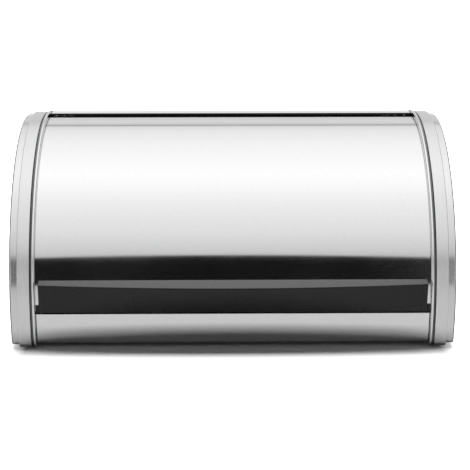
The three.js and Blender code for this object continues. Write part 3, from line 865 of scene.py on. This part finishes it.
def handle_loop(x, shrink=0):
    """The handle's section at x: a sloping ledge, a lip that bows out, and a face falling back."""
    bow = 1 - (x / END_CAP.far) ** 2
    lip = LIP_END[0] + (LIP_MIDDLE[0] - LIP_END[0]) * bow - shrink
    angle = LIP_END[1] + (LIP_MIDDLE[1] - LIP_END[1]) * bow
    seat = DOOR.outer + GAP
    step = PROFILE.outer + GAP
    outline = [
        place(0, seat, HANDLE_TOP + shrink / MM * 0.1),
        place(0, lip, angle),
        place(0, lip, angle + LIP_EDGE),
        place(0, step + 2.2 * MM - shrink / 2, HANDLE_BOTTOM),
        place(0, step, HANDLE_BOTTOM),
        place(0, step, PROFILE.start - 0.2),
        place(0, seat, PROFILE.start - 0.2),
        place(0, seat, HANDLE_STEP),
    ]
    radii = [0, 0.7 * MM, 0.35 * MM, 0.6 * MM, 0.15 * MM, 0, 0, 0]
    return [Vector((x, p.y, p.z)) for p in rounded(outline, radii)]


def build_handle():
    """The grip along the door, closed by a rounded cap at either end."""
    grip_end = END_CAP.near - 0.03 * MM
    loops = [handle_loop(x) for x in steps(-grip_end, grip_end, 60)]
    stand_in(loft("handle_grip", loops, bevel=0.1 * MM), "door_handle", "black_plastic")
    for name, side in SIDES:
        loops = [handle_loop(side * x) for x in steps(END_CAP.near, END_CAP.far - PLUG_ROUND, 6)]
        for a in steps(0, math.pi / 2, 6)[1:]:
            x = END_CAP.far - PLUG_ROUND * (1 - math.sin(a))
            loops.append(handle_loop(side * x, PLUG_ROUND * (1 - math.cos(a))))
        cap = loft(f"handle_{name}_end_plug", loops, bevel=0.08 * MM)
        stand_in(cap, f"handle_{name}_end_cap", "black_plastic")


def build_handle_screws():
    """Screws from inside the door through the backing plate into the handle."""
    for number in (1, 2, 3, 4):
        screw(f"handle_screw_{number}", direction(HANDLE_SCREWS), 7.5 * MM)


# ---- studio ------------------------------------------------------------------------------------
# What the steel mirrors, by the angle of the mirrored direction: 0 is straight up, 90 is level in
# front, -90 is level behind. The numbers are brightness, as a share of LIGHT.
LIGHT = 2.0
ROOM = (
    (-180, 0.62),
    (-95, 0.64),
    (-81, 0.58),
    (-76, 0.5),
    (-66, 0.61),
    (-59.0, 0.56),
    (-57.6, 0.25),
    (-56.6, 0.25),
    (-55.2, 0.66),
    (-46, 0.78),
    (-28, 0.89),
    (-8, 0.96),
    (6, 1.0),
    (16, 0.96),
    (35, 0.83),
    (54, 0.73),
    (66, 0.62),
    (74, 0.52),
    (180, 0.6),
)
DARK = 0.005  # brightness of the unlit room in front of the box
DARK_FROM = 71.4  # the angle at which it begins
DARK_BOW = 95  # how fast that edge drops away from the middle, per x squared
DARK_HALF = 0.22  # how far it reaches to either side, as the x of a direction
DARK_FADE = 0.04  # half the width of its blurred sides
DARK_SIDE = 1.1  # brightness beside it
SIDE_LOW = 0.03  # brightness of the room's sides, level with the box
SIDE_HIGH = 0.85  # and above it
SIDE_RISE = (0.3, 0.75)  # from one to the other, as the z of a direction
SIDE_FROM = (0.45, 0.6)  # where the sides begin, as its x
SIDE_BACK = (-0.3, -0.05)  # and as its y: there are none in front
SHADE = 0.06  # how much of the room reaches diffuse surfaces
BACKDROP = 1.25  # the background's brightness in the camera, enough for white
FLOOR_HALF = 20
FLOOR_FRONT = -0.95  # its edge towards the camera
FLOOR_TONE = 0.8  # the floor as the steel sees it
FLOOR_SEEN = 0.95  # and as the camera does
# Painted light on the floor: beyond these reaches from the box the floor glows for the camera
# alone.
FLOOR_PAINTED_LIGHT_SIDE = (0.172, 0.192)  # over this reach, painted light that only the camera sees turns the floor evenly white, to either side, and so sets where the contact shadow ends
FLOOR_PAINTED_LIGHT_FRONT = (0.136, 0.17)
FLOOR_PAINTED_LIGHT_BACK = (0.17, 0.21)
LAMP_SIZE = (1.6, 0.8)
LAMP_HEIGHT = 1.9
LAMP_POWER = 42  # watts
LENS = 104.63
CAMERA_PLACE = (-0.0133, -1.21165, 0.32441)  # from the drum's axis, in the middle of the box
CAMERA_DOWN = 12.367
CAMERA_TURN = -0.784
CAMERA_SHIFT = -0.08


def build_room():
    """A studio all round: a bright sweep behind and above, and an unlit room in front."""
    world = bpy.data.worlds.new("studio")
    bpy.context.scene.world = world
    world.use_nodes = True
    tree = world.node_tree
    tree.nodes.clear()
    coordinates = tree.nodes.new("ShaderNodeTexCoord")
    parts = tree.nodes.new("ShaderNodeSeparateXYZ")
    tree.links.new(coordinates.outputs["Generated"], parts.inputs["Vector"])
    across = parts.outputs["X"]
    forward = math_node(tree, "MULTIPLY", parts.outputs["Y"], -1.0)
    angle = math_node(tree, "DEGREES", math_node(tree, "ARCTAN2", forward, parts.outputs["Z"]))
    ramp = tree.nodes.new("ShaderNodeValToRGB")
    stops = ramp.color_ramp.elements
    while len(stops) < len(ROOM):
        stops.new(0.5)
    for stop, (degrees, brightness) in zip(stops, ROOM):
        stop.position = (degrees + 180) / 360
        stop.color = (brightness, brightness, brightness, 1)
    tree.links.new(ranged(tree, angle, -180, 180), ramp.inputs["Fac"])
    aside = math_node(tree, "ABSOLUTE", across)
    across_squared = math_node(tree, "MULTIPLY", across, across)
    edge = math_node(tree, "ADD", math_node(tree, "MULTIPLY", across_squared, DARK_BOW), DARK_FROM)
    past = ranged(tree, math_node(tree, "SUBTRACT", angle, edge), -0.3, 0.3)
    beside = ranged(tree, aside, DARK_HALF - DARK_FADE, DARK_HALF + DARK_FADE)
    lit = mixed(tree, past, ramp.outputs["Color"], mixed(tree, beside, DARK, DARK_SIDE))
    side_tone = ranged(tree, parts.outputs["Z"], *SIDE_RISE, SIDE_LOW, SIDE_HIGH)
    sideways = ranged(tree, aside, *SIDE_FROM)
    behind = ranged(tree, parts.outputs["Y"], *SIDE_BACK)
    tone = mixed(tree, math_node(tree, "MULTIPLY", sideways, behind), lit, side_tone)
    seen = tree.nodes.new("ShaderNodeLightPath")
    scattered = math_node(tree, "MINIMUM", seen.outputs["Diffuse Depth"], 1.0)
    share = mixed(tree, scattered, 1.0, SHADE)
    strength = math_node(tree, "MULTIPLY", math_node(tree, "MULTIPLY", tone, LIGHT), share)
    background = tree.nodes.new("ShaderNodeBackground")
    background.inputs["Color"].default_value = (0.8, 0.8, 0.8, 1)
    strength = mixed(tree, seen.outputs["Is Camera Ray"], strength, BACKDROP)
    tree.links.new(strength, background.inputs["Strength"])
    output = tree.nodes.new("ShaderNodeOutputWorld")
    tree.links.new(background.outputs["Background"], output.inputs["Surface"])


def build_floor():
    """A plain white table, far wider than the view, that ends short of the camera. Painted light
    that only the camera sees whitens it outwards from the box and sets the edges of its contact
    shadow.
    """
    half = FLOOR_HALF
    corners = [(-half, FLOOR_FRONT, 0), (half, FLOOR_FRONT, 0), (half, half, 0), (-half, half, 0)]
    mesh = bpy.data.meshes.new("floor")
    mesh.from_pydata(corners, [], [(0, 1, 2, 3)])
    floor = bpy.data.objects.new("floor", mesh)
    bpy.context.scene.collection.objects.link(floor)
    material, tree, shader = new_material("floor_white", (0.88, 0.88, 0.88), 0, 0.0)
    shader.inputs["Roughness"].default_value = 1
    seen = tree.nodes.new("ShaderNodeLightPath")
    tone = mixed(tree, seen.outputs["Is Camera Ray"], FLOOR_TONE, FLOOR_SEEN)
    tree.links.new(tone, shader.inputs["Base Color"])
    coordinates = tree.nodes.new("ShaderNodeTexCoord")
    parts = tree.nodes.new("ShaderNodeSeparateXYZ")
    tree.links.new(coordinates.outputs["Object"], parts.inputs["Vector"])
    forward = math_node(tree, "MULTIPLY", parts.outputs["Y"], -1.0)
    # Painted light: an emission that only the camera sees whitens the floor outwards from these
    # reaches, so they, not the lamp alone, set where the contact shadow ends.
    side = ranged(tree, math_node(tree, "ABSOLUTE", parts.outputs["X"]), *FLOOR_PAINTED_LIGHT_SIDE)
    front = ranged(tree, forward, *FLOOR_PAINTED_LIGHT_FRONT)
    back = ranged(tree, parts.outputs["Y"], *FLOOR_PAINTED_LIGHT_BACK)
    painted_floor_light = math_node(tree, "MAXIMUM", side, math_node(tree, "MAXIMUM", front, back))
    painted_floor_light = math_node(tree, "MULTIPLY", painted_floor_light, seen.outputs["Is Camera Ray"])
    tree.links.new(painted_floor_light, shader.inputs["Emission Strength"])
    shader.inputs["Emission Color"].default_value = (1, 1, 1, 1)
    mesh.materials.append(material)


def build_lamp():
    """A broad lamp overhead that no steel mirrors: it lights the table and the plastics."""
    data = bpy.data.lights.new("overhead", "AREA")
    data.shape = "RECTANGLE"
    data.size, data.size_y = LAMP_SIZE
    data.energy = LAMP_POWER
    lamp = bpy.data.objects.new("overhead", data)
    lamp.location = (0, 0, LAMP_HEIGHT)
    aim = Vector((0, -0.1, -LAMP_HEIGHT))
    lamp.rotation_euler = aim.to_track_quat("-Z", "Y").to_euler()
    lamp.visible_glossy = False
    lamp.visible_camera = False
    bpy.context.scene.collection.objects.link(lamp)


def build_camera():
    """In front, a little above the box, looking down."""
    data = bpy.data.cameras.new("camera")
    data.lens = LENS
    data.sensor_width = 36
    data.shift_y = CAMERA_SHIFT
    camera = bpy.data.objects.new("camera", data)
    camera.location = AXIS + Vector(CAMERA_PLACE)
    camera.rotation_euler = (math.radians(90 - CAMERA_DOWN), 0, math.radians(CAMERA_TURN))
    bpy.context.scene.collection.objects.link(camera)
    bpy.context.scene.camera = camera


build_camera()
build_rear_shell()
build_front_apron()
build_trim()
build_base_plate()
for side_name, side_sign in SIDES:
    build_guide_ring(side_name, side_sign)
    build_cap_frame(side_name, side_sign)
    build_cap_cover(side_name, side_sign)
    build_side_panel(side_name, side_sign)
    build_stops(side_name, side_sign)
    build_side_screws(side_name, side_sign)
build_rivets()
build_feet()
build_door_sheets()
build_door_bottom()
build_handle()
build_handle_screws()
build_room()
build_floor()
build_lamp()
bpy.context.scene.view_settings.view_transform = "Standard"
